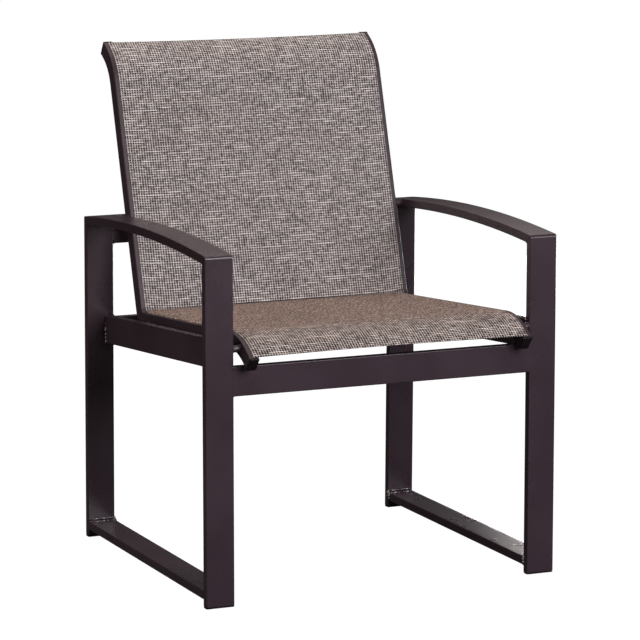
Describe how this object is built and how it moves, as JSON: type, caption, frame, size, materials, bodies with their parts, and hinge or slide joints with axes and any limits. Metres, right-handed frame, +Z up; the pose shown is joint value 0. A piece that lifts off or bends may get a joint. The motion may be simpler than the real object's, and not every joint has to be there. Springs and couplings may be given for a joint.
{
  "type": "sling patio chair",
  "caption": "Stationary patio armchair: woven sling stretched between bent slotted rails, in a welded frame of flat tube with bowed arms and floor runners.",
  "frame": {"origin": "on the floor, under the middle of the chair's outline", "axes": "+X to the right as one faces the chair, +Y to its back, +Z up"},
  "size_m": [0.645, 0.6912, 0.8864],
  "materials": {
    "bronze_coat": "dark bronze powder coat, satin",
    "sling_weave": "woven vinyl-coated polyester, taupe and cream",
    "black_plastic": "moulded, satin",
    "pale_nylon": "extruded, smooth"
  },
  "bodies": {
    "root": {"left_front_leg": "bronze_coat", "right_front_leg": "bronze_coat", "left_rear_leg": "bronze_coat", "right_rear_leg": "bronze_coat", "left_arm": "bronze_coat", "right_arm": "bronze_coat", "left_runner": "bronze_coat", "right_runner": "bronze_coat", "left_side_rail": "bronze_coat", "right_side_rail": "bronze_coat", "front_crossbar": "bronze_coat", "rear_crossbar": "bronze_coat", "upper_back_crossbar": "bronze_coat", "left_sling_rail": "bronze_coat", "right_sling_rail": "bronze_coat", "left_front_stud": "bronze_coat", "right_front_stud": "bronze_coat", "left_seat_stud": "bronze_coat", "right_seat_stud": "bronze_coat", "left_arm_stud": "bronze_coat", "right_arm_stud": "bronze_coat", "sling_fabric": "sling_weave", "left_spline": "pale_nylon", "right_spline": "pale_nylon", "left_front_cap": "black_plastic", "right_front_cap": "black_plastic", "left_top_cap": "black_plastic", "right_top_cap": "black_plastic", "left_front_glide": "black_plastic", "right_front_glide": "black_plastic", "left_rear_glide": "black_plastic", "right_rear_glide": "black_plastic"}
  },
  "joints": []
}
